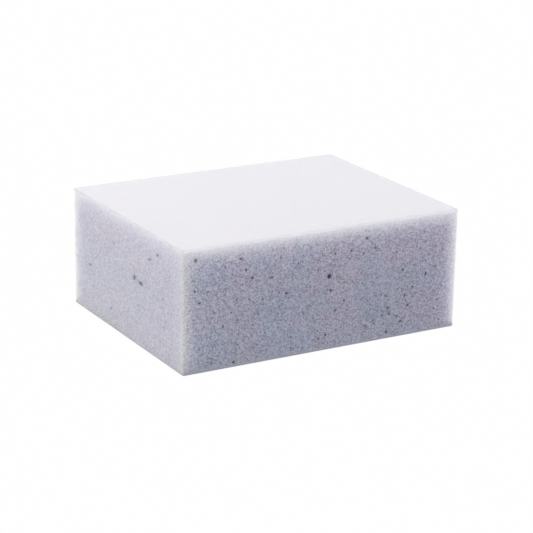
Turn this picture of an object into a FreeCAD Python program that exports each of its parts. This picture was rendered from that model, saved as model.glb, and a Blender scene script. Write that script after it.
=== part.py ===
import FreeCAD, Part
import os

import Sketcher

# A small nail buffer block: a soft foam core with an abrasive facing bonded to its top and another to
# its bottom. Each facing is a stack of three layers, from the foam outwards: a glue film, a paper
# backing and a coat of fine grit. All the layers are cut in one go, so they share one outline.
#
# The frame: the origin is at the centre of the bottom face, +X runs along the length, +Y along the
# depth and +Z up. Lengths are in millimetres.

DRIVING_SIZES = [
    ("block_length", "31.75", "outline along X"),
    ("block_depth", "25.0", "outline along Y"),
    ("corner_radius", "0.2", "rounding of the four upright corners"),
    ("foam_thickness", "12.2", "foam core, facings left out"),
    ("adhesive_thickness", "0.05", "one glue film"),
    ("backing_thickness", "0.12", "one paper backing"),
    ("grit_thickness", "0.08", "one coat of grit with its resin"),
]

# The stack from the floor up: each layer's name and the alias of its thickness.
LAYERS = [
    ("bottom_grit_coat", "grit_thickness"),
    ("bottom_backing_sheet", "backing_thickness"),
    ("bottom_adhesive_film", "adhesive_thickness"),
    ("foam_core", "foam_thickness"),
    ("top_adhesive_film", "adhesive_thickness"),
    ("top_backing_sheet", "backing_thickness"),
    ("top_grit_coat", "grit_thickness"),
]

UPRIGHT_EDGES = 4
SMALLEST_GAP = 1e-4  # two coordinates closer than this are the same


def make_sheet(doc):
    """The driving dimensions, one to a row, each with its alias."""
    sheet = doc.addObject("Spreadsheet::Sheet", "sizes")
    for row, (alias, value, meaning) in enumerate(DRIVING_SIZES, start=1):
        sheet.set(f"A{row}", meaning)
        sheet.set(f"B{row}", value)
        sheet.setAlias(f"B{row}", alias)
    doc.recompute()
    return sheet


def origin_plane(body, role):
    """One of the body's own origin planes."""
    return next(feature for feature in body.Origin.OriginFeatures if feature.Role == role)


def outline_sketch(body, sheet):
    """The block's outline: a rectangle centred on the body's origin, its sides bound to the sheet."""
    sketch = body.newObject("Sketcher::SketchObject", body.Name + "_outline")
    sketch.AttachmentSupport = [(origin_plane(body, "XY_Plane"), "")]
    sketch.MapMode = "FlatFace"
    half_length = sheet.block_length / 2
    half_depth = sheet.block_depth / 2
    corners = [
        FreeCAD.Vector(-half_length, -half_depth, 0),
        FreeCAD.Vector(half_length, -half_depth, 0),
        FreeCAD.Vector(half_length, half_depth, 0),
        FreeCAD.Vector(-half_length, half_depth, 0),
    ]
    for start, end in zip(corners, corners[1:] + corners[:1]):
        sketch.addGeometry(Part.LineSegment(start, end), False)
    front, right, back, left = range(4)
    line_start, line_end = 1, 2
    for side, following in ((front, right), (right, back), (back, left), (left, front)):
        sketch.addConstraint(Sketcher.Constraint("Coincident", side, line_end, following, line_start))
    for side in (front, back):
        sketch.addConstraint(Sketcher.Constraint("Horizontal", side))
    for side in (right, left):
        sketch.addConstraint(Sketcher.Constraint("Vertical", side))
    root_point = (-1, 1)
    sketch.addConstraint(
        Sketcher.Constraint("Symmetric", front, line_start, right, line_end, *root_point)
    )
    length = sketch.addConstraint(
        Sketcher.Constraint("DistanceX", front, line_start, front, line_end, float(sheet.block_length))
    )
    depth = sketch.addConstraint(
        Sketcher.Constraint("DistanceY", right, line_start, right, line_end, float(sheet.block_depth))
    )
    sketch.renameConstraint(length, "outline_length")
    sketch.renameConstraint(depth, "outline_depth")
    sketch.setExpression("Constraints.outline_length", "sizes.block_length")
    sketch.setExpression("Constraints.outline_depth", "sizes.block_depth")
    return sketch


def upright_edges(shape):
    """The names of the edges that run straight up, which are the outline's four corners."""
    names = []
    for number, edge in enumerate(shape.Edges, start=1):
        start, end = edge.Vertexes[0].Point, edge.Vertexes[-1].Point
        if abs(start.x - end.x) < SMALLEST_GAP and abs(start.y - end.y) < SMALLEST_GAP:
            names.append(f"Edge{number}")
    return names


def make_layer(doc, sheet, name, thickness, layers_below):
    """One layer of the stack: its outline padded up and its corners rounded, set on what is below."""
    body = doc.addObject("PartDesign::Body", name)
    body.Label = name
    pad = body.newObject("PartDesign::Pad", name + "_pad")
    pad.Profile = outline_sketch(body, sheet)
    pad.setExpression("Length", "sizes." + thickness)
    doc.recompute()
    corners = upright_edges(pad.Shape)
    if len(corners) != UPRIGHT_EDGES:
        raise RuntimeError(f"{name} has {len(corners)} upright edges, not {UPRIGHT_EDGES}")
    rounding = body.newObject("PartDesign::Fillet", name + "_corners")
    rounding.Base = (pad, corners)
    rounding.setExpression("Radius", "sizes.corner_radius")
    pad.Visibility = False
    body.Tip = rounding
    underside = " + ".join("sizes." + alias for alias in layers_below) or "0"
    body.setExpression("Placement.Base.z", underside)
    return body


def check_document(doc, layers):
    """Stops on any feature that failed and any layer that is not one valid solid."""
    for item in doc.Objects:
        if "Invalid" in item.State or "Error" in item.State:
            raise RuntimeError(f"{item.Name} failed: {item.State}")
    for layer in layers:
        shape = layer.Shape
        if shape.isNull() or not shape.isValid() or len(shape.Solids) != 1:
            raise RuntimeError(f"{layer.Label} is not one valid solid")


def check_stack(layers):
    """Stops if a layer does not rest exactly on the one below it."""
    for lower, upper in zip(layers, layers[1:]):
        gap = upper.Shape.BoundBox.ZMin - lower.Shape.BoundBox.ZMax
        if abs(gap) > SMALLEST_GAP:
            raise RuntimeError(f"{upper.Label} is {gap:.4f} mm from {lower.Label}")


doc = FreeCAD.newDocument("nail_buffer_block")
sizes = make_sheet(doc)

layers = []
stacked = []
for layer_name, layer_thickness in LAYERS:
    layers.append(make_layer(doc, sizes, layer_name, layer_thickness, stacked))
    stacked.append(layer_thickness)

doc.recompute()
check_document(doc, layers)
check_stack(layers)

os.makedirs("parts", exist_ok=True)
for layer in layers:
    layer.Shape.exportStep(f"parts/{layer.Label}.step")
    box = layer.Shape.BoundBox
    print(f"{layer.Label}: z {box.ZMin:.2f} to {box.ZMax:.2f} mm, {layer.Shape.Volume:.1f} mm3")
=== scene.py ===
import math
import random
from collections import namedtuple

import bmesh
import bpy
import numpy as np
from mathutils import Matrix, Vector, geometry


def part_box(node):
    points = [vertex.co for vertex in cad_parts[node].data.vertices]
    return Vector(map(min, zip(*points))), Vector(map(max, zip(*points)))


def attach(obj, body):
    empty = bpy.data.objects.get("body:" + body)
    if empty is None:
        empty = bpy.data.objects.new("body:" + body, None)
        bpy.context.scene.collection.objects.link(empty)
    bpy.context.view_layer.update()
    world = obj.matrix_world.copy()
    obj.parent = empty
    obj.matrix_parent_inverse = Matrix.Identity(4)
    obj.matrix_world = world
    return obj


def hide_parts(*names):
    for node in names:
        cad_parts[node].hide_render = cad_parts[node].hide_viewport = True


# A small nail buffer block on a white table: a soft foam core with open cells on its cut sides, and a
# thin abrasive facing on its top and bottom. Everything is in metres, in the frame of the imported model:
# +X along the length, +Y along the depth, +Z up, with the long front side facing -Y.

MM = 0.001
PER_MM = 1.0 / MM

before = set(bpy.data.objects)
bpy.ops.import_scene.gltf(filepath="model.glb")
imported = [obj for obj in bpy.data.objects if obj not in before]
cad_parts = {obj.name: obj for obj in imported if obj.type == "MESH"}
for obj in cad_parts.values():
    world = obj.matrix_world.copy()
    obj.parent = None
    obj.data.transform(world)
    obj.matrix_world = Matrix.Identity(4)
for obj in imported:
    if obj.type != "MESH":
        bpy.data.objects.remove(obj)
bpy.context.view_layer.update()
BLOCK_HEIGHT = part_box("top_grit_coat")[1].z
FOAM_LOW, FOAM_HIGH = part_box("foam_core")


# ---------------------------------------------------------------------------------------------------
# Nodes
# ---------------------------------------------------------------------------------------------------


class Tree:
    """A new material's node tree, with a short way to make nodes and join them."""

    def __init__(self, name):
        self.material = bpy.data.materials.new(name)
        self.material.use_nodes = True
        self.tree = self.material.node_tree
        self.tree.nodes.clear()
        self.output = self.node("ShaderNodeOutputMaterial")

    def node(self, kind, **settings):
        made = self.tree.nodes.new(kind)
        for key, value in settings.items():
            setattr(made, key, value)
        return made

    def feed(self, socket, value):
        """Gives a socket another node's output, or a plain value."""
        if isinstance(value, bpy.types.NodeSocket):
            self.tree.links.new(value, socket)
        else:
            socket.default_value = value

    def shader(self, kind, **inputs):
        """A shader node. In an input's name, an underscore stands for a space."""
        made = self.node(kind)
        for name, value in inputs.items():
            self.feed(made.inputs[name.replace("_", " ")], value)
        return made

    def place(self):
        """Where a point of the surface is in the frame."""
        return self.node("ShaderNodeTexCoord").outputs["Object"]

    def split(self, vector):
        made = self.node("ShaderNodeSeparateXYZ")
        self.feed(made.inputs[0], vector)
        return list(made.outputs)

    def maths(self, operation, first, second=0.0, third=0.0, clamp=False):
        made = self.node("ShaderNodeMath", operation=operation, use_clamp=clamp)
        for socket, value in zip(made.inputs, (first, second, third)):
            self.feed(socket, value)
        return made.outputs[0]

    def noise(self, place, cell, detail):
        """Soft noise from 0 to 1 whose features are about one cell across, in metres."""
        made = self.node("ShaderNodeTexNoise")
        self.feed(made.inputs["Vector"], place)
        self.feed(made.inputs["Scale"], 1.0 / cell)
        self.feed(made.inputs["Detail"], detail)
        return made.outputs["Fac"]

    def random_cells(self, place, cell):
        """A node that divides space into random cells about this wide, in metres."""
        made = self.node("ShaderNodeTexVoronoi")
        self.feed(made.inputs["Vector"], place)
        self.feed(made.inputs["Scale"], 1.0 / cell)
        return made

    def cells(self, place, cell):
        """The distance from the middle of a random cell, in cells."""
        return self.random_cells(place, cell).outputs["Distance"]

    def numbered_cells(self, place, cell):
        """The distance from the middle of a random cell, and the cell's own number from 0 to 1."""
        made = self.random_cells(place, cell)
        parts = self.node("ShaderNodeSeparateColor")
        self.feed(parts.inputs[0], made.outputs["Color"])
        return made.outputs["Distance"], parts.outputs[0]

    def rescale(self, value, low, high, to_low=0.0, to_high=1.0, kind="SMOOTHSTEP"):
        """Turns low to high into to_low to to_high, and stops at both ends."""
        made = self.node("ShaderNodeMapRange", interpolation_type=kind)
        for socket, number in zip(made.inputs, (value, low, high, to_low, to_high)):
            self.feed(socket, number)
        return made.outputs["Result"]

    def blend(self, share, first, second, mode="MIX"):
        """Two colours mixed, or the first one times the second, as far as the share says."""
        made = self.node("ShaderNodeMix", data_type="RGBA", blend_type=mode)
        colours = [socket for socket in made.inputs if socket.type == "RGBA"]
        self.feed(made.inputs["Factor"], share)
        self.feed(colours[0], first)
        self.feed(colours[1], second)
        return next(socket for socket in made.outputs if socket.type == "RGBA")

    def bump(self, height, distance, strength):
        made = self.node("ShaderNodeBump")
        self.feed(made.inputs["Strength"], strength)
        self.feed(made.inputs["Distance"], distance)
        self.feed(made.inputs["Height"], height)
        return made.outputs["Normal"]

    def finish(self, surface):
        self.tree.links.new(surface.outputs[0], self.output.inputs["Surface"])
        return self.material


def grey(level):
    return (level, level, level, 1.0)


# ---------------------------------------------------------------------------------------------------
# Meshes
# ---------------------------------------------------------------------------------------------------

CORNER_RADIUS = 0.2 * MM  # of the block's upright corners, as in the CAD model
SAME_PLACE = 1e-4 * MM  # points nearer than this are one
SLACK_MM = 1e-7  # the triangulation's tolerance, in millimetres
INSIDE_OUTLINE = 1  # tells the triangulation to keep what is inside the outline


def around(ring):
    """The pairs of neighbours in a closed ring."""
    return list(zip(ring, ring[1:] + ring[:1]))


def triangulate(flat, outline_length, holes=()):
    """A triangulation of flat points, of which the outline comes first, without the insides of holes.

    Gives the points, the triangles, and the new number of each point that was given.
    """
    # The triangulation works better in millimetres than in metres.
    coordinates = [Vector((first * PER_MM, second * PER_MM)) for first, second in flat]
    edges = around(list(range(outline_length)))
    points, _, faces, sources_of_points, _, sources_of_faces = geometry.delaunay_2d_cdt(
        coordinates, edges, list(holes), INSIDE_OUTLINE, SLACK_MM
    )
    triangles = [tuple(face) for face, in_hole in zip(faces, sources_of_faces) if not in_hole]
    number_of = {
        source: number for number, sources in enumerate(sources_of_points) for source in sources
    }
    return np.array(points) * MM, triangles, number_of


def make_piece(name, vertices, polygons):
    mesh = bpy.data.meshes.new(name)
    mesh.from_pydata([tuple(vertex) for vertex in vertices], [], polygons)
    mesh.polygons.foreach_set("use_smooth", [True] * len(mesh.polygons))
    piece = bpy.data.objects.new(name, mesh)
    bpy.context.scene.collection.objects.link(piece)
    return piece


# ---------------------------------------------------------------------------------------------------
# The foam's wall and its open cells
# ---------------------------------------------------------------------------------------------------

SIDES = ("back", "left", "front", "right")  # anticlockwise from the back right corner, seen from above
ENDS = ("left", "right")
ROUNDING_SLACK = 1e-9  # lets a corner's last point count as part of the corner


class Wall:
    """The block's side wall unrolled: a place on it is a distance along the outline and a height."""

    def __init__(self, low, high, radius):
        self.low, self.high, self.radius = low, high, radius
        x, y = high.x - radius, high.y - radius
        self.corners = [(-x, y), (-x, -y), (x, -y), (x, y)]  # centre of the corner after each side
        self.side_lengths = [2 * x, 2 * y, 2 * x, 2 * y]
        self.corner_length = math.pi / 2 * radius
        self.length = sum(self.side_lengths) + 4 * self.corner_length

    def start(self, side):
        """How far along the outline a side's straight stretch starts."""
        before = SIDES.index(side)
        return sum(self.side_lengths[:before]) + before * self.corner_length

    def side_at(self, along):
        """The side on which a distance along the outline falls. A corner counts with the side before."""
        return [side for side in SIDES if self.start(side) <= along][-1]

    def place(self, along):
        """The outline's points and outward directions, as (x, y) rows."""
        points = np.zeros((len(along), 2))
        outward = np.zeros((len(along), 2))
        for number, side in enumerate(SIDES):
            facing = math.pi / 2 * (number + 1)
            out = np.array([math.cos(facing), math.sin(facing)])
            ahead = np.array([-out[1], out[0]])
            step = along - self.start(side)
            straight = (step >= 0) & (step <= self.side_lengths[number])
            first = np.array(self.corners[number - 1]) + self.radius * out
            points[straight] = first + np.outer(step[straight], ahead)
            outward[straight] = out
            past = step - self.side_lengths[number]
            turning = (past > 0) & (past <= self.corner_length + ROUNDING_SLACK)
            angle = facing + past[turning] / self.radius
            turned = np.column_stack([np.cos(angle), np.sin(angle)])
            points[turning] = np.array(self.corners[number]) + self.radius * turned
            outward[turning] = turned
        return points, outward

    def lift(self, flat, depth):
        """Points of the unrolled wall, set this far below its surface, in space."""
        xy, outward = self.place(np.clip(flat[:, 0], 0, self.length))
        depth = np.broadcast_to(depth, len(flat))
        return np.column_stack([xy - outward * depth[:, None], flat[:, 1]])


# Each size of open cell: how many points its rim has, and the rings of its bowl from the rim down, each
# as a share of the rim's radius and a depth in rim radii. The last entry is the depth of the bottom.
CELL_SHAPES = {
    "large": (12, [(1.07, 0.35), (1.02, 0.8), (0.72, 1.2), (0.36, 1.42)], 1.5),
    "medium": (8, [(1.0, 0.5), (0.62, 1.0)], 1.15),
}

# The open cells that stand out most: millimetres from the side's left end and from the floor, and the
# radius in millimetres.
STANDOUT_CELLS = {
    "front": [
        (1.4, 11.5, 0.21), (6.3, 11.0, 0.16), (6.9, 9.8, 0.14), (7.6, 8.9, 0.16), (1.3, 8.4, 0.15),
        (2.7, 8.2, 0.12), (5.9, 6.9, 0.13), (11.5, 6.7, 0.16), (8.8, 6.5, 0.13), (16.4, 7.7, 0.27),
        (16.6, 6.2, 0.16), (18.9, 10.0, 0.15), (17.0, 10.0, 0.14), (20.7, 11.1, 0.17), (25.2, 7.1, 0.16),
        (28.0, 6.3, 0.18), (26.4, 5.1, 0.14), (17.2, 4.0, 0.14), (18.2, 4.9, 0.13), (14.1, 5.0, 0.12),
        (16.1, 1.6, 0.16), (15.3, 1.3, 0.15), (23.5, 3.3, 0.16), (23.7, 2.6, 0.16), (25.5, 4.3, 0.16),
        (25.9, 3.2, 0.15), (25.1, 1.6, 0.17), (20.9, 1.7, 0.15), (22.8, 2.6, 0.13), (4.4, 4.4, 0.14),
        (5.6, 0.5, 0.16), (23.4, 0.7, 0.16), (1.8, 7.2, 0.15), (24.6, 2.2, 0.14), (29.9, 1.0, 0.13),
        (6.0, 4.8, 0.13), (29.1, 6.9, 0.14), (21.8, 2.2, 0.13), (21.8, 9.9, 0.14), (27.7, 10.8, 0.13),
        (30.3, 10.7, 0.13), (30.0, 8.6, 0.12), (20.4, 9.5, 0.12), (9.8, 8.6, 0.13), (23.2, 4.6, 0.13),
        (1.8, 2.5, 0.11), (12.1, 0.9, 0.12), (4.6, 10.4, 0.12), (29.5, 3.2, 0.11), (27.2, 9.1, 0.13),
        (3.1, 0.9, 0.13),
    ],
    "left": [
        (14.3, 6.9, 0.32), (15.7, 6.7, 0.33), (17.8, 9.8, 0.20), (19.5, 10.7, 0.23), (3.9, 5.3, 0.20),
        (15.3, 4.3, 0.13), (8.9, 2.0, 0.18), (20.6, 6.5, 0.12), (20.8, 3.7, 0.13), (15.6, 10.5, 0.13),
    ],
}

# How many more open cells of each shape are scattered, and their radii. The medium ones go all over the
# wall, and the large ones where there are no standout cells, which is on the back and the right end.
SCATTERED_CELLS = [
    ("large", 62, 0.11 * MM, 0.24 * MM),
    ("medium", 740, 0.068 * MM, 0.12 * MM),
]
SMALL_CELL_FAVOUR = 1.6  # 1 makes all radii equally common, more makes the small ones commoner
SCATTERED_ON_ENDS = 0.5  # how many of the scattered cells stay on the ends, against the long sides

CELL_STRETCH = (0.9, 1.18)  # the least and most that a rim is stretched
CELL_DEPTH = (0.8, 1.15)  # the least and most depth of a bowl, against its shape's
RIM_WOBBLE = (0.88, 1.1)  # the least and most reach of a rim's point, against its radius

# The cells on the ends, against those on the long sides: longer than tall, nearly level and with less
# painted shade.
END_STRETCH = 1.38
END_TILT = 0.1
END_SHADE = 0.88

FULL_SHADE_RADIUS = 0.28 * MM  # an open cell this large gets the full painted shade at its bottom
SHADE_POWER = 0.5  # how fast smaller cells get less painted shade

EDGE_MARGIN = 0.06 * MM  # kept between a cell and the wall's ends, beyond the cell's reach
CELL_REACH = 1.3  # how far a stretched cell reaches on a long side, in its radii
CELL_GAP = 1.25  # how far apart two cells stay, in the sum of their radii
CROWD_SQUARE = 0.8 * MM  # further than a scattered cell ever has to be from another cell


class Cell:
    """One open cell on the unrolled wall."""

    def __init__(self, shape, along, height, radius, on_end, chance):
        self.shape, self.along, self.height, self.radius = shape, along, height, radius
        self.stretch = chance.uniform(*CELL_STRETCH) * (END_STRETCH if on_end else 1.0)
        self.tilt = chance.uniform(0, math.pi) * (END_TILT if on_end else 1.0)
        # Painted shade: how dark the bottom of the cell's bowl is painted.
        self.shade = min(1.0, (radius / FULL_SHADE_RADIUS) ** SHADE_POWER) * (END_SHADE if on_end else 1.0)
        self.depth = chance.uniform(*CELL_DEPTH)
        rim_points = CELL_SHAPES[shape][0]
        self.wobble = [chance.uniform(*RIM_WOBBLE) for _ in range(rim_points)]
        self.turn = chance.uniform(0, math.tau / rim_points)

    def ring(self, share):
        """A ring of the bowl on the unrolled wall, its radius this share of the rim's."""
        count = len(self.wobble)
        angle = self.turn + math.tau * np.arange(count) / count
        reach = self.radius * share * np.array(self.wobble)
        long_way = reach * self.stretch * np.cos(angle)
        short_way = reach / self.stretch * np.sin(angle)
        cosine, sine = math.cos(self.tilt), math.sin(self.tilt)
        offsets = np.column_stack([
            long_way * cosine - short_way * sine,
            long_way * sine + short_way * cosine,
        ])
        return offsets + (self.along, self.height)


class Crowd:
    """The cells placed so far, in a coarse grid that makes a clash quick to find."""

    def __init__(self):
        self.squares, self.cells = {}, []

    def key(self, along, height):
        return int(along / CROWD_SQUARE), int(height / CROWD_SQUARE)

    def room(self, along, height, radius):
        column, row = self.key(along, height)
        for i in (column - 1, column, column + 1):
            for j in (row - 1, row, row + 1):
                for other in self.squares.get((i, j), ()):
                    apart = math.hypot(along - other.along, height - other.height)
                    if apart < CELL_GAP * (radius + other.radius):
                        return False
        return True

    def add(self, cell):
        self.squares.setdefault(self.key(cell.along, cell.height), []).append(cell)
        self.cells.append(cell)


def place_cells(wall, chance):
    """The standout cells, then the scattered ones wherever there is room."""
    crowd = Crowd()
    for side, cells in STANDOUT_CELLS.items():
        for from_left, from_floor, radius in cells:
            along = wall.start(side) + from_left * MM - wall.radius
            crowd.add(Cell("large", along, from_floor * MM, radius * MM, side in ENDS, chance))
    for shape, count, smallest, largest in SCATTERED_CELLS:
        placed = 0
        while placed < count:
            radius = smallest + (largest - smallest) * chance.random() ** SMALL_CELL_FAVOUR
            margin = CELL_REACH * radius + EDGE_MARGIN
            along = chance.uniform(margin, wall.length - margin)
            height = chance.uniform(wall.low.z + margin, wall.high.z - margin)
            side = wall.side_at(along)
            if shape == "large" and side in STANDOUT_CELLS:
                continue
            share = SCATTERED_ON_ENDS if side in ENDS else 1.0
            if chance.random() < share and crowd.room(along, height, radius):
                crowd.add(Cell(shape, along, height, radius, side in ENDS, chance))
                placed += 1
    return crowd


# ---------------------------------------------------------------------------------------------------
# The foam's mesh
# ---------------------------------------------------------------------------------------------------

WALL_SPACING = 0.15 * MM  # between the points of the fine-celled surface round the open cells
WALL_JITTER = 0.3  # how far a point strays from its grid, in spacings
POINT_CLEARANCE = 0.03 * MM  # a plain point keeps clear of open cells as a cell of this radius would

GRAIN_DEPTH = 0.06 * MM  # how deep the fine cells go
GRAIN_POWER = 2  # the higher, the fewer of them are deep
GRAIN_AT_RIMS = 0.3  # how deep the grain goes on a cell's rim, before the power

UNEVENNESS = 0.03 * MM  # how far the knife's cut wanders into the foam
WAVES = 9  # how many waves make up its wander
WAVE_TURNS = (3, 60)  # the fewest and most turns of a wave round the block
WAVE_RISE = 2.5  # how fast a wave turns going up, in radians per millimetre, at most

SHARP_ANGLE = math.radians(60)  # an edge that turns by more than this is sharp, as round the top


def wall_grid(wall):
    """How many spacings of plain points go along the wall and up it."""
    return round(wall.length / WALL_SPACING), round((wall.high.z - wall.low.z) / WALL_SPACING)


def wall_outline(wall):
    """Points round the unrolled wall, anticlockwise from its lower start."""
    columns, rows = wall_grid(wall)
    along = np.linspace(0, wall.length, columns + 1)
    height = np.linspace(wall.low.z, wall.high.z, rows + 1)
    bottom = [(a, wall.low.z) for a in along[:-1]]
    end = [(wall.length, h) for h in height[:-1]]
    top = [(a, wall.high.z) for a in along[:0:-1]]
    start = [(0.0, h) for h in height[:0:-1]]
    return bottom + end + top + start


def plain_points(wall, crowd, chance):
    """Jittered points over the plain surface between the cells."""
    columns, rows = wall_grid(wall)
    tall = wall.high.z - wall.low.z
    points = []
    for i in range(1, columns):
        for j in range(1, rows):
            along = wall.length * (i + chance.uniform(-WALL_JITTER, WALL_JITTER)) / columns
            height = wall.low.z + tall * (j + chance.uniform(-WALL_JITTER, WALL_JITTER)) / rows
            if crowd.room(along, height, POINT_CLEARANCE):
                points.append((along, height))
    return points


def unevenness(wall, along, height, chance):
    """A gentle wander of the cut, from 0 to UNEVENNESS, that joins up round the block."""
    total = np.zeros(len(along))
    for _ in range(WAVES):
        turns = chance.randint(*WAVE_TURNS)
        rise = chance.uniform(-WAVE_RISE, WAVE_RISE) / MM
        phase = chance.uniform(0, math.tau)
        total += np.sin(math.tau * turns * along / wall.length + rise * height + phase)
    return UNEVENNESS * (0.5 + 0.5 * np.tanh(total / math.sqrt(WAVES)))


def surface_depth(wall, flat, rims, chance):
    """How far the plain surface lies below the wall at each point: the cut's wander and the grain."""
    depth = unevenness(wall, flat[:, 0], flat[:, 1], chance)
    grain = np.array([chance.random() for _ in range(len(flat))])
    grain[[number for rim in rims for number in rim]] *= GRAIN_AT_RIMS
    depth += GRAIN_DEPTH * grain ** GRAIN_POWER
    seam = np.minimum(flat[:, 0], wall.length - flat[:, 0]) < SAME_PLACE
    depth[seam] = 0.0
    return depth


class Shell:
    """A mesh as it is built: its points, how much painted shade each has, its polygons and its sharp
    edges.
    """

    def __init__(self):
        self.points, self.darkness, self.polygons, self.sharp = [], [], [], []
        self.count = 0

    def add(self, points, darkness=0.0):
        """Adds points that all have this much painted shade, and gives their numbers."""
        first = self.count
        self.points.append(points)
        self.darkness.append(np.full(len(points), darkness))
        self.count += len(points)
        return list(range(first, self.count))


def add_bowl(shell, wall, cell, rim, rim_depth):
    """An open cell's bowl, from its rim down to its bottom."""
    _, rings, bottom = CELL_SHAPES[cell.shape]
    shell.sharp.extend(around(rim))
    upper = rim
    for share, depth in rings:
        points = wall.lift(cell.ring(share), rim_depth + depth * cell.depth * cell.radius)
        lower = shell.add(points, cell.shade * depth / bottom)
        for (a, b), (c, d) in zip(around(upper), around(lower)):
            shell.polygons.append((a, b, d, c))
        upper = lower
    middle = np.array([[cell.along, cell.height]])
    deepest, = shell.add(wall.lift(middle, rim_depth + bottom * cell.depth * cell.radius), cell.shade)
    for a, b in around(upper):
        shell.polygons.append((a, b, deepest))


def add_cap(shell, flat, height, faces_up):
    """The foam's flat top or bottom, as a fan round its middle."""
    rim = [number for number in range(len(flat)) if abs(flat[number, 1] - height) < SAME_PLACE]
    rim.sort(key=lambda number: flat[number, 0])
    middle, = shell.add(np.array([[0.0, 0.0, height]]))
    for near, far in zip(rim, rim[1:]):
        shell.polygons.append((near, far, middle) if faces_up else (far, near, middle))


def foam_shell(wall, chance):
    """The foam core: its wall with every open cell cut into it, and its flat top and bottom."""
    crowd = place_cells(wall, chance)
    flat = wall_outline(wall)
    outline_length = len(flat)
    rims = []
    for cell in crowd.cells:
        first = len(flat)
        flat.extend(map(tuple, cell.ring(1.0)))
        rims.append(list(range(first, len(flat))))
    flat.extend(plain_points(wall, crowd, chance))
    flat, triangles, number_of = triangulate(flat, outline_length, rims)
    rims = [[number_of[number] for number in rim] for rim in rims]

    depth = surface_depth(wall, flat, rims, chance)
    shell = Shell()
    shell.add(wall.lift(flat, depth))
    shell.polygons.extend(triangles)
    for cell, rim in zip(crowd.cells, rims):
        add_bowl(shell, wall, cell, rim, depth[rim].mean())
    add_cap(shell, flat, wall.low.z, faces_up=False)
    add_cap(shell, flat, wall.high.z, faces_up=True)
    return shell


def make_foam(chance):
    shell = foam_shell(Wall(FOAM_LOW, FOAM_HIGH, CORNER_RADIUS), chance)
    piece = make_piece("foam_block", np.concatenate(shell.points), shell.polygons)
    mesh = piece.data
    # The painted shade of each point, which darkens the open cells' bowls in the material.
    darkness = mesh.attributes.new("painted_cell_shade", "FLOAT", "POINT")
    darkness.data.foreach_set("value", np.concatenate(shell.darkness).astype(np.float32))
    sharp = {frozenset(pair) for pair in shell.sharp}
    for edge in mesh.edges:
        edge.use_edge_sharp = frozenset(edge.vertices) in sharp
    shape = bmesh.new()
    shape.from_mesh(mesh)
    bmesh.ops.remove_doubles(shape, verts=shape.verts, dist=SAME_PLACE)
    for edge in shape.edges:
        if len(edge.link_faces) == 2 and edge.calc_face_angle() > SHARP_ANGLE:
            edge.smooth = False
    shape.to_mesh(mesh)
    shape.free()
    mesh.update()
    return piece


# ---------------------------------------------------------------------------------------------------
# The facings' meshes
# ---------------------------------------------------------------------------------------------------

LAYER_GAP = 0.002 * MM  # left free above and below each layer, so that no two faces coincide
CORNER_STEPS = 5
FACING_JITTER = 0.35  # how far a point strays from its grid, in spacings
RIM_CLEARANCE = 0.3  # how far a point inside stays from the edge, in spacings
RELIEF_POWER = 2  # the higher, the fewer points of a relief are deep

# A layer of a facing: its slot, the spacing of its points, the depth of its relief, and how far its edge
# is worn back at its inner and its outer face.
FacingLayer = namedtuple("FacingLayer", "slot spacing relief inner_wear outer_wear")
FACING_LAYERS = {
    "grit_coat": FacingLayer("grit", 0.2 * MM, 0.012 * MM, 0.02 * MM, 0.07 * MM),
    "backing_sheet": FacingLayer("backing_paper", 0.8 * MM, 0.004 * MM, 0.0, 0.02 * MM),
    "adhesive_film": FacingLayer("adhesive", 0.8 * MM, 0.004 * MM, 0.0, 0.0),
}


def rounded_outline(x, y, radius, spacing):
    """Points round a rectangle with round corners, anticlockwise."""
    turns = []
    for number, (side_x, side_y) in enumerate([(1, 1), (-1, 1), (-1, -1), (1, -1)]):
        for step in range(CORNER_STEPS + 1):
            angle = math.pi / 2 * (number + step / CORNER_STEPS)
            turns.append((
                side_x * (x - radius) + radius * math.cos(angle),
                side_y * (y - radius) + radius * math.sin(angle),
            ))
    points = []
    for start, end in around(turns):
        pieces = max(1, round(math.dist(start, end) / spacing))
        for k in range(pieces):
            share = k / pieces
            points.append((
                start[0] + share * (end[0] - start[0]),
                start[1] + share * (end[1] - start[1]),
            ))
    return points


def inside_points(x, y, radius, spacing, chance):
    """Jittered points inside the rounded rectangle, clear of its edge."""
    columns, rows = round(2 * x / spacing), round(2 * y / spacing)
    clear = RIM_CLEARANCE * spacing
    points = []
    for i in range(1, columns):
        for j in range(1, rows):
            across = x * (2 * (i + chance.uniform(-FACING_JITTER, FACING_JITTER)) / columns - 1)
            along = y * (2 * (j + chance.uniform(-FACING_JITTER, FACING_JITTER)) / rows - 1)
            past_x = max(0.0, abs(across) - (x - radius))
            past_y = max(0.0, abs(along) - (y - radius))
            if math.hypot(past_x, past_y) < radius - clear:
                points.append((across, along))
    return points


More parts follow.
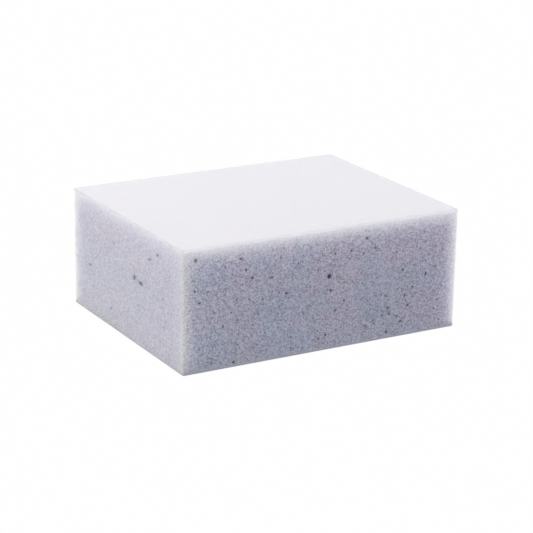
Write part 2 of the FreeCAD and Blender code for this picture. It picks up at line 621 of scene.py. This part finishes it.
def make_facing_layer(node, layer, chance):
    """One layer of a facing: a thin closed slab with a low relief on its outer face."""
    low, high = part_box(node)
    faces_up = node.startswith("top")
    x, y = high.x - layer.outer_wear, high.y - layer.outer_wear
    outline = rounded_outline(x, y, CORNER_RADIUS, layer.spacing)
    inside = inside_points(x, y, CORNER_RADIUS, layer.spacing, chance)
    flat, polygons, number_of = triangulate(outline + inside, len(outline))
    rim = [number_of[number] for number in range(len(outline))]
    on_rim = set(rim)

    top, bottom = high.z - LAYER_GAP, low.z + LAYER_GAP
    outer, inner, inward = (top, bottom, -1) if faces_up else (bottom, top, 1)
    vertices = []
    for number, (across, along) in enumerate(flat):
        sink = layer.relief if number in on_rim else layer.relief * chance.random() ** RELIEF_POWER
        vertices.append((across, along, outer + inward * sink))
    first_inner = len(vertices)
    wider = ((high.x - layer.inner_wear) / x, (high.y - layer.inner_wear) / y)
    for number in rim:
        vertices.append((vertices[number][0] * wider[0], vertices[number][1] * wider[1], inner))
    inner_rim = list(range(first_inner, len(vertices)))
    middle = len(vertices)
    vertices.append((0.0, 0.0, inner))
    for (a, b), (c, d) in zip(around(rim), around(inner_rim)):
        polygons.append((a, c, d, b))
        polygons.append((d, c, middle))
    if not faces_up:
        polygons = [tuple(reversed(polygon)) for polygon in polygons]

    piece = make_piece(node + "_look", vertices, polygons)
    for edge in piece.data.edges:
        a, b = edge.vertices
        edge.use_edge_sharp = (a in on_rim and b in on_rim) or (a >= first_inner and b >= first_inner)
    return piece


# ---------------------------------------------------------------------------------------------------
# The foam's material
# ---------------------------------------------------------------------------------------------------

FOAM_BLUE = (0.676, 0.703, 0.835, 1.0)
FOAM_PLUM = (0.744, 0.698, 0.818, 1.0)
PAINTED_EDGE_GLOW = (0.92, 0.905, 1.0, 1.0)  # painted glow: a paler colour along the edges, where the block is thin enough for light to come through
CELL_SHADE = (0.21, 0.21, 0.29, 1.0)  # painted shade deep in a large open cell, and in the small pits

EVEN_RADIUS = (1.0, 1.0, 1.0)  # all colours travel equally far below the surface
FOAM_ROUGHNESS = 0.85
FOAM_SPECULAR = 0.15
FOAM_SUBSURFACE = 0.9  # how much of the light goes below the surface
DEEP_SHADE_FROM = 0.9  # a cell has its full painted shade from this share of its depth
ENDWAYS = (0.4, 0.8)  # how far a normal points along X where the long sides end, and where the ends start

# A reach is how far something falls off to a third of its strength.
EDGE_REACH = 0.97 * MM  # of the painted paler glow along the edges, into the sides
FRONT_CORNER_REACH = 0.85 * MM  # the same for the painted glow at the front left corner, where less light comes through
LOWER_EDGE_REACH = 0.4 * MM  # of the lower edges' shorter travel of light in the foam, upwards
RIM_REACH = 0.2 * MM  # of the painted highlight round a facing's rim, into its face
FALL_POWER = 1.2
UPPER_FALL_POWER = 1.1
SCATTER = (3.0 * MM, 5.0 * MM)  # how far light travels in the foam, and how far near its glowing edges
LOWER_SCATTER = 0.1  # how much of that is left at the lower edges

# A pair gives a number for the long sides and one for the ends.
UPPER_EDGE_SHARE = (1.0, 0.43)  # how strong the painted glow along the upper edge is
TINT_MIDDLE = (0.5, 0.62)  # the usual share of plum
TINT_SPREAD = (1.0, 0.4)  # how far the broad tints vary
GRAIN_SHARE = (1.0, 0.6)  # how much the grain shows, which is less across the foam's rise
SOFT_FROM = (0.8, 0.45)  # the edge's strength from which the grain is as soft as it gets

PATCH_SIZE = 4.0 * MM  # of the broad patches of tint
PATCH_NOISE = (0.35, 0.65)  # the noise's usual least and most
PATCH_TINT = 0.38  # how much more or less plum a patch has
CORNER_TINT = 0.28  # how much more plum the right end and the top have, and less the left and bottom
PAINTED_LIGHT_SLOPE = 0.03  # painted light: how much lighter the top and the left end are painted, and darker the bottom and the right end

FINE_CELL = 0.12 * MM  # each of these cells has a lightness of its own
FINE_LIGHTNESS = (0.65, 1.19)
FINE_LIGHTEST = 0.75  # cells numbered higher than this are all as light
COARSE_CELL = 0.36 * MM  # each of these is paler towards its walls
COARSE_SLOPE = (0.1, 0.55)
COARSE_LIGHTNESS = (0.92, 1.04)
PIT_CELL = 0.3 * MM  # each of these has a pit of painted shade in its middle, of its own depth
PIT_SLOPE = (0.20, 0.42)
PIT_POWER = 2.0  # the higher, the fewer pits are deep
PIT_SHADE = 0.42
SOFTEST_GRAIN = 0.3  # how much of the grain is left on the glowing edges
FRONT_CORNER_GRAIN = 0.85  # the same at the front left corner
FRONT_CORNER_ENDS = -1.85  # where on the way to the back right corner the front left corner ends

RELIEF_CELL = 0.22 * MM
RELIEF_SLOPE = (0.0, 0.6)
RELIEF_DEPTH = 0.04 * MM
RELIEF_STRENGTH = 0.8


def fall(t, distance, reach, power=FALL_POWER):
    """1 where the distance is 0, a third at the reach, then on towards 0, faster for a higher power."""
    share = t.maths("DIVIDE", t.maths("MAXIMUM", distance, 0.0), reach)
    return t.maths("EXPONENT", t.maths("MULTIPLY", t.maths("POWER", share, power), -1.0))


def on_ends(t):
    """1 on the block's two ends, 0 on its long sides."""
    x, _, _ = t.split(t.node("ShaderNodeNewGeometry").outputs["Normal"])
    return t.rescale(t.maths("ABSOLUTE", x), *ENDWAYS)


def by_side(t, pair):
    """The pair's first number on the long sides, and its second on the ends."""
    return t.rescale(on_ends(t), 0.0, 1.0, *pair)


def from_upright_edges(t, place):
    """How far in from the ends, and how far in from the long sides."""
    x, y, _ = t.split(place)
    from_ends = t.maths("SUBTRACT", FOAM_HIGH.x, t.maths("ABSOLUTE", x))
    return from_ends, t.maths("SUBTRACT", FOAM_HIGH.y, t.maths("ABSOLUTE", y))


def from_middle_of_foam(t, place):
    """How far from the foam's middle, to the right and up, in halves of its length and height."""
    x, _, z = t.split(place)
    across = t.maths("DIVIDE", x, FOAM_HIGH.x)
    return across, t.rescale(z, FOAM_LOW.z, FOAM_HIGH.z, -1.0, 1.0, kind="LINEAR")


def to_back_right(t, place):
    """From -2 at the front left corner to 2 at the back right corner."""
    x, y, _ = t.split(place)
    return t.maths("ADD", t.maths("DIVIDE", x, FOAM_HIGH.x), t.maths("DIVIDE", y, FOAM_HIGH.y))


def edge_glow_mask(t, place):
    """Where the painted paler glow goes: 1 on the foam's upright and upper edges, falling off into its
    sides.
    """
    _, _, z = t.split(place)
    reach = t.rescale(to_back_right(t, place), -2.0, -1.0, FRONT_CORNER_REACH, EDGE_REACH, kind="LINEAR")
    upright = fall(t, t.maths("MAXIMUM", *from_upright_edges(t, place)), reach)
    upper = fall(t, t.maths("SUBTRACT", FOAM_HIGH.z, z), EDGE_REACH, UPPER_FALL_POWER)
    upper = t.maths("MULTIPLY", upper, by_side(t, UPPER_EDGE_SHARE))
    either = t.maths("ADD", upright, upper)
    return t.maths("SUBTRACT", either, t.maths("MULTIPLY", upright, upper), clamp=True)


def scatter_reach(t, place, edge):
    """How far light travels in the foam: further near its glowing edges, less far near its lower ones."""
    _, _, z = t.split(place)
    lower = fall(t, t.maths("SUBTRACT", z, FOAM_LOW.z), LOWER_EDGE_REACH)
    kept = t.rescale(lower, 0.0, 1.0, 1.0, LOWER_SCATTER)
    return t.maths("MULTIPLY", t.rescale(edge, 0.0, 1.0, *SCATTER), kept)


def foam_tint(t, place):
    """Lavender grey, in broad patches that lean to blue or plum, with painted light: lighter towards the
    top and the left end.
    """
    across, up = from_middle_of_foam(t, place)
    spread = by_side(t, TINT_SPREAD)
    patches = t.rescale(t.noise(place, PATCH_SIZE, detail=1.0), *PATCH_NOISE, -PATCH_TINT, PATCH_TINT)
    lean = t.maths("MULTIPLY_ADD", t.maths("ADD", across, up), CORNER_TINT, patches)
    plum = t.maths("MULTIPLY_ADD", lean, spread, by_side(t, TINT_MIDDLE), clamp=True)
    # Painted light: lighter towards the top and the left end, darker towards the bottom and the right end.
    paler = t.maths("MULTIPLY", t.maths("SUBTRACT", up, across), PAINTED_LIGHT_SLOPE)
    lightness = t.maths("MULTIPLY_ADD", paler, spread, 1.0)
    return t.blend(1.0, t.blend(plum, FOAM_BLUE, FOAM_PLUM), lightness, "MULTIPLY")


def foam_grain(t, place, colour):
    """The colour as the cut shows it: fine cells, coarser ones with pale walls, and small pits of painted
    shade.
    """
    _, own = t.numbered_cells(place, FINE_CELL)
    fine = t.rescale(own, 0.0, FINE_LIGHTEST, *FINE_LIGHTNESS, kind="LINEAR")
    coarse = t.rescale(t.cells(place, COARSE_CELL), *COARSE_SLOPE, *COARSE_LIGHTNESS)
    colour = t.blend(1.0, t.blend(1.0, colour, fine, "MULTIPLY"), coarse, "MULTIPLY")
    # Painted shade: dark pits stand in for small holes in the cut.
    from_middle, own = t.numbered_cells(place, PIT_CELL)
    pit = t.rescale(from_middle, *PIT_SLOPE, 1.0, 0.0)
    pit = t.maths("MULTIPLY", pit, t.maths("POWER", own, PIT_POWER))
    return t.blend(t.maths("MULTIPLY", pit, PIT_SHADE), colour, CELL_SHADE)


def grain_strength(t, place, edge):
    """How much the grain shows: more on the long sides than on the ends, and less on the glowing edges."""
    kept = t.rescale(to_back_right(t, place), -2.0, FRONT_CORNER_ENDS, FRONT_CORNER_GRAIN, SOFTEST_GRAIN)
    near_edge = t.rescale(edge, 0.0, by_side(t, SOFT_FROM), 1.0, kept, kind="LINEAR")
    return t.maths("MULTIPLY", by_side(t, GRAIN_SHARE), near_edge)


def foam_material():
    """Fine-celled soft foam: lavender grey, with a painted paler glow along its edges, where light also
    comes through by scattering.
    """
    t = Tree("soft_foam")
    place = t.place()
    edge = edge_glow_mask(t, place)
    # Painted glow: the colour is blended towards a paler lavender white along the upright and upper edges.
    smooth = t.blend(edge, foam_tint(t, place), PAINTED_EDGE_GLOW)
    strength = grain_strength(t, place, edge)
    colour = t.blend(strength, smooth, foam_grain(t, place, smooth))
    depth = t.node("ShaderNodeAttribute", attribute_name="painted_cell_shade").outputs["Fac"]
    # Painted shade: the colour darkens towards the bottom of each open cell, less on the glowing edges.
    shade = t.maths("MULTIPLY", t.rescale(depth, 0.0, DEEP_SHADE_FROM), t.maths("SUBTRACT", 1.0, edge))
    relief = t.rescale(t.cells(place, RELIEF_CELL), *RELIEF_SLOPE)
    relief_strength = t.maths("MULTIPLY", strength, RELIEF_STRENGTH)
    skin = t.shader(
        "ShaderNodeBsdfPrincipled",
        Base_Color=t.blend(shade, colour, CELL_SHADE),
        Roughness=FOAM_ROUGHNESS,
        Specular_IOR_Level=FOAM_SPECULAR,
        Subsurface_Weight=FOAM_SUBSURFACE,
        Subsurface_Radius=EVEN_RADIUS,
        Subsurface_Scale=scatter_reach(t, place, edge),
        Normal=t.bump(relief, RELIEF_DEPTH, relief_strength),
    )
    return t.finish(skin)


# ---------------------------------------------------------------------------------------------------
# The facings' materials
# ---------------------------------------------------------------------------------------------------

WHITE_AND_PAINTED_GLOW = (0.985, 0.98, 0.99, 1.0)  # the paper's and the glue's own white; also the painted glow on the upper facing's cut edge, with the light above it, and the painted highlight round the grit's rim
PAINTED_SHADE_WHITE = (0.61, 0.60, 0.65, 1.0)  # painted shade on the lower facing's cut edge
FACING_SCATTER = (0.3 * MM, 4.0 * MM)  # how far light travels in a facing, and in the upper cut edge
LEVEL = (0.5, 0.8)  # how far a normal points up or down where the cut edge ends, and where a face starts
LOWER_TO_UPPER = (0.3 * BLOCK_HEIGHT, 0.7 * BLOCK_HEIGHT)  # heights between the two facings

GRIT_LIGHT = (0.742, 0.729, 0.730, 1.0)
GRIT_DARK = (0.707, 0.694, 0.693, 1.0)
GRIT_CLUMP = (0.675, 0.665, 0.665, 1.0)
GRIT_SIZE = 0.075 * MM
GRIT_CLUMP_SIZE = 0.5 * MM
GRIT_CLUMP_SHARE = 0.25  # how far the clumps' colour shows at most
GRIT_RIM_HIGHLIGHT = 0.1  # how far the painted highlight round the rim shows at most
GRIT_SLOPE = (0.1, 0.7)  # where a grain's colour starts and stops to change, in grains from its middle
CLUMP_NOISE = (0.35, 0.7)
GRIT_ROUGHNESS = (0.55, 0.8)  # in a grain's middle, and from ROUGH_FROM grains away from it
ROUGH_FROM = 0.7
GRIT_RELIEF = -0.012 * MM  # a grain's middle stands above its edge
GRIT_RELIEF_STRENGTH = 0.5

PAPER_FIBRE = (0.90, 0.895, 0.90, 1.0)
FIBRE_SIZE = 0.12 * MM
FIBRE_FLATNESS = (1.0, 1.0, 6.0)  # fibres are this much longer and wider than thick
FIBRE_RELIEF = 0.01 * MM
FIBRE_RELIEF_STRENGTH = 0.5
PAPER_ROUGHNESS = 0.9

GLUE_BEAD = (0.88, 0.875, 0.88, 1.0)
BEAD_SIZE = 0.3 * MM
BEAD_RELIEF = 0.01 * MM
BEAD_RELIEF_STRENGTH = 0.4
GLUE_ROUGHNESS = (0.35, 0.5)
GLUE_SPECULAR = 0.4

SOFT_NOISE = (0.3, 0.7)  # the noise's usual least and most, for the fibres and the beads
FACING_SPECULAR = 0.2


def painted_rim_highlight(t, place):
    """Where the painted highlight goes: 1 round the rim of a facing's face, falling off into it."""
    return fall(t, t.maths("MINIMUM", *from_upright_edges(t, place)), RIM_REACH)


def cut_edge(t):
    """1 on a layer's cut edge, 0 on its outer and inner faces."""
    _, _, z = t.split(t.node("ShaderNodeNewGeometry").outputs["True Normal"])
    return t.rescale(t.maths("ABSOLUTE", z), *LEVEL, 1.0, 0.0)


def facing_shader(t, place, colour, roughness, normal, specular=FACING_SPECULAR):
    """A thin white layer. Light from above comes through the upper facing and out of its cut edge; that
    cut edge is also painted glowing white, and the lower facing's cut edge is painted in shade.
    """
    _, _, z = t.split(place)
    edge = cut_edge(t)
    upper = t.rescale(z, *LOWER_TO_UPPER)
    return t.shader(
        "ShaderNodeBsdfPrincipled",
        # Painted glow on the upper cut edge and painted shade on the lower one: one material, coloured by
        # height.
        Base_Color=t.blend(edge, colour, t.blend(upper, PAINTED_SHADE_WHITE, WHITE_AND_PAINTED_GLOW)),
        Roughness=roughness,
        Specular_IOR_Level=specular,
        Subsurface_Weight=1.0,
        Subsurface_Radius=EVEN_RADIUS,
        Subsurface_Scale=t.rescale(t.maths("MULTIPLY", edge, upper), 0.0, 1.0, *FACING_SCATTER),
        Normal=normal,
    )


def grit_material():
    """A coat of fine white grains in resin."""
    t = Tree("fine_white_grit")
    place = t.place()
    grains = t.cells(place, GRIT_SIZE)
    clumps = t.noise(place, GRIT_CLUMP_SIZE, detail=3.0)
    colour = t.blend(t.rescale(grains, *GRIT_SLOPE), GRIT_LIGHT, GRIT_DARK)
    colour = t.blend(t.rescale(clumps, *CLUMP_NOISE, 0.0, GRIT_CLUMP_SHARE), colour, GRIT_CLUMP)
    # Painted highlight: the grit is paler round its rim.
    colour = t.blend(t.maths("MULTIPLY", painted_rim_highlight(t, place), GRIT_RIM_HIGHLIGHT), colour, WHITE_AND_PAINTED_GLOW)
    roughness = t.rescale(grains, 0.0, ROUGH_FROM, *GRIT_ROUGHNESS)
    normal = t.bump(grains, GRIT_RELIEF, GRIT_RELIEF_STRENGTH)
    return t.finish(facing_shader(t, place, colour, roughness, normal))


def paper_material():
    """The facing's backing: thin white paper, of which only the cut edge shows."""
    t = Tree("backing_paper")
    place = t.place()
    flattened = t.node("ShaderNodeMapping")
    t.feed(flattened.inputs["Vector"], place)
    t.feed(flattened.inputs["Scale"], FIBRE_FLATNESS)
    fibres = t.noise(flattened.outputs["Vector"], FIBRE_SIZE, detail=4.0)
    colour = t.blend(t.rescale(fibres, *SOFT_NOISE), PAPER_FIBRE, WHITE_AND_PAINTED_GLOW)
    normal = t.bump(fibres, FIBRE_RELIEF, FIBRE_RELIEF_STRENGTH)
    return t.finish(facing_shader(t, place, colour, PAPER_ROUGHNESS, normal))


def adhesive_material():
    """The milky glue film."""
    t = Tree("glue_film")
    place = t.place()
    beads = t.noise(place, BEAD_SIZE, detail=2.0)
    colour = t.blend(t.rescale(beads, *SOFT_NOISE), GLUE_BEAD, WHITE_AND_PAINTED_GLOW)
    roughness = t.rescale(beads, *SOFT_NOISE, *GLUE_ROUGHNESS)
    normal = t.bump(beads, BEAD_RELIEF, BEAD_RELIEF_STRENGTH)
    return t.finish(facing_shader(t, place, colour, roughness, normal, GLUE_SPECULAR))


# ---------------------------------------------------------------------------------------------------
# The block
# ---------------------------------------------------------------------------------------------------


def dress(piece, material):
    piece.data.materials.clear()
    piece.data.materials.append(material)


foam = make_foam(random.Random(11))
dress(foam, foam_material())
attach(foam, "root")
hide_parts("foam_core")

finishes = {
    "grit": grit_material(),
    "backing_paper": paper_material(),
    "adhesive": adhesive_material(),
}
seed = 0
for end in ("top", "bottom"):
    for kind, layer in FACING_LAYERS.items():
        seed += 1
        node = end + "_" + kind
        piece = make_facing_layer(node, layer, random.Random(seed))
        dress(piece, finishes[layer.slot])
        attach(piece, "root")
        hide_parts(node)
        # The facings are thin enough for light to go through them into the foam and out again.
        piece.visible_shadow = False
        piece.visible_diffuse = False


# ---------------------------------------------------------------------------------------------------
# Table, light and camera
# ---------------------------------------------------------------------------------------------------

AMBIENT = (0.94, 0.95, 1.04, 1.0)  # the slightly blue light from all round
AMBIENT_STRENGTH = 0.60

TABLE_REACH = 3.0
TABLE_WHITE = 0.12  # how much of the other lights the table throws back
TABLE_GLOW = 0.22  # how strongly it glows on the block
TABLE_SEEN = 0.995  # how light it looks to the camera
BACKGROUND_SEEN = 1.0  # the same for what is behind it

LIGHTS_FACE = (0, 0, 0.006)  # about the block's middle

# Square soft lights: where each is, its width, its power and its colour.
SOFT_LIGHTS = {
    "overhead": ((0.02, 0.0, 0.45), 0.35, 0.22, (1.0, 1.0, 1.0)),
    "backdrop": ((0.05, 0.50, 0.12), 0.35, 1.15, (1.0, 0.975, 0.91)),
    "left_side": ((-0.30, 0.14, 0.13), 0.25, 0.44, (1.0, 0.975, 0.82)),
    "right_side": ((0.48, 0.05, 0.15), 0.25, 1.1, (1.0, 0.985, 0.95)),
}

CAMERA_AZIMUTH = math.radians(-30.1)
CAMERA_ELEVATION = math.radians(17.88)
CAMERA_ROLL = math.radians(0.95)
CAMERA_DISTANCE = 201.4 * MM
CAMERA_AIM = (0.41 * MM, -1.05 * MM)  # how far to the right of and above the block's middle it looks
LENS_MM = 129.9
SENSOR_MM = 36.0
NEAREST_SEEN = 0.01


def light_table_material():
    """A white light table: it looks evenly white, and glows softly on the block from below."""
    t = Tree("light_table")
    white = t.shader("ShaderNodeBsdfDiffuse", Color=grey(TABLE_WHITE))
    glow = t.shader("ShaderNodeEmission", Color=AMBIENT, Strength=TABLE_GLOW)
    both = t.node("ShaderNodeAddShader")
    seen = t.shader("ShaderNodeEmission", Color=grey(TABLE_SEEN), Strength=1.0)
    mix = t.node("ShaderNodeMixShader")
    t.feed(mix.inputs[0], t.node("ShaderNodeLightPath").outputs["Is Camera Ray"])
    t.feed(both.inputs[0], white.outputs[0])
    t.feed(both.inputs[1], glow.outputs[0])
    t.feed(mix.inputs[1], both.outputs[0])
    t.feed(mix.inputs[2], seen.outputs[0])
    return t.finish(mix)


def make_table():
    reach = TABLE_REACH
    mesh = bpy.data.meshes.new("table_top")
    corners = [(-reach, -reach, 0), (reach, -reach, 0), (reach, reach, 0), (-reach, reach, 0)]
    mesh.from_pydata(corners, [], [(0, 1, 2, 3)])
    table = bpy.data.objects.new("table_top", mesh)
    bpy.context.scene.collection.objects.link(table)
    dress(table, light_table_material())


def make_world():
    """Even light from all round, and an evenly white background for the camera."""
    world = bpy.data.worlds.new("studio")
    world.use_nodes = True
    nodes, links = world.node_tree.nodes, world.node_tree.links
    nodes.clear()
    output = nodes.new("ShaderNodeOutputWorld")
    ambient = nodes.new("ShaderNodeBackground")
    ambient.inputs["Color"].default_value = AMBIENT
    ambient.inputs["Strength"].default_value = AMBIENT_STRENGTH
    seen = nodes.new("ShaderNodeBackground")
    seen.inputs["Color"].default_value = grey(BACKGROUND_SEEN)
    path = nodes.new("ShaderNodeLightPath")
    mix = nodes.new("ShaderNodeMixShader")
    links.new(path.outputs["Is Camera Ray"], mix.inputs[0])
    links.new(ambient.outputs[0], mix.inputs[1])
    links.new(seen.outputs[0], mix.inputs[2])
    links.new(mix.outputs[0], output.inputs["Surface"])
    bpy.context.scene.world = world


def soft_light(name, place, width, power, colour):
    """A square soft light that faces the block."""
    data = bpy.data.lights.new(name, "AREA")
    data.shape = "SQUARE"
    data.size = width
    data.energy = power
    data.color = colour
    lamp = bpy.data.objects.new(name, data)
    lamp.location = place
    lamp.rotation_euler = (Vector(LIGHTS_FACE) - Vector(place)).to_track_quat("-Z", "Y").to_euler()
    bpy.context.scene.collection.objects.link(lamp)


def make_camera():
    middle = (FOAM_LOW + FOAM_HIGH) / 2
    across = math.cos(CAMERA_ELEVATION)
    back = Vector((
        math.sin(CAMERA_AZIMUTH) * across,
        -math.cos(CAMERA_AZIMUTH) * across,
        math.sin(CAMERA_ELEVATION),
    ))
    level_right = (-back).cross(Vector((0, 0, 1))).normalized()
    level_up = level_right.cross(-back)
    right = math.cos(CAMERA_ROLL) * level_right + math.sin(CAMERA_ROLL) * level_up
    up = -math.sin(CAMERA_ROLL) * level_right + math.cos(CAMERA_ROLL) * level_up
    data = bpy.data.cameras.new("camera")
    data.lens = LENS_MM
    data.sensor_width = SENSOR_MM
    data.clip_start = NEAREST_SEEN
    camera = bpy.data.objects.new("camera", data)
    place = middle + CAMERA_AIM[0] * right + CAMERA_AIM[1] * up + CAMERA_DISTANCE * back
    turned = camera.matrix_world.copy()
    for row in range(3):
        turned[row][0], turned[row][1], turned[row][2] = right[row], up[row], back[row]
        turned[row][3] = place[row]
    camera.matrix_world = turned
    bpy.context.scene.collection.objects.link(camera)
    bpy.context.scene.camera = camera


make_table()
make_world()
for name, settings in SOFT_LIGHTS.items():
    soft_light(name, *settings)
make_camera()
bpy.context.scene.view_settings.view_transform = "Standard"
